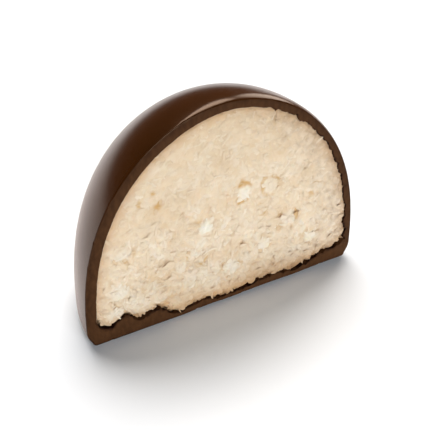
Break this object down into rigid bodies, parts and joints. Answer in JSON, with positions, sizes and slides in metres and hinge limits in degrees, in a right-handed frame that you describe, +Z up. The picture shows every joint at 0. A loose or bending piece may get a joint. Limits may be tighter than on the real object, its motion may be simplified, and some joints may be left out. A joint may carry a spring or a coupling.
{
  "type": "coconut ball",
  "caption": "Half of a domed chocolate sweet, sliced upright to show the coconut that fills its thin chocolate shell.",
  "frame": {"origin": "middle of the bounding box, at the flat base that the sweet stands on", "axes": "+Z up along the dome's axis, +X along the cut face to its right, +Y away from the cut face into the half dome; the cut face looks along -Y"},
  "size_m": [0.032, 0.016, 0.0252],
  "materials": {
    "chocolate": "tempered chocolate, satin gloss where it left the mould and matt where the knife went through",
    "coconut": "moist grated coconut, cream to white, crumbly and matt"
  },
  "bodies": {
    "root": {"chocolate_shell": "chocolate", "coconut_filling": "coconut"}
  },
  "joints": []
}
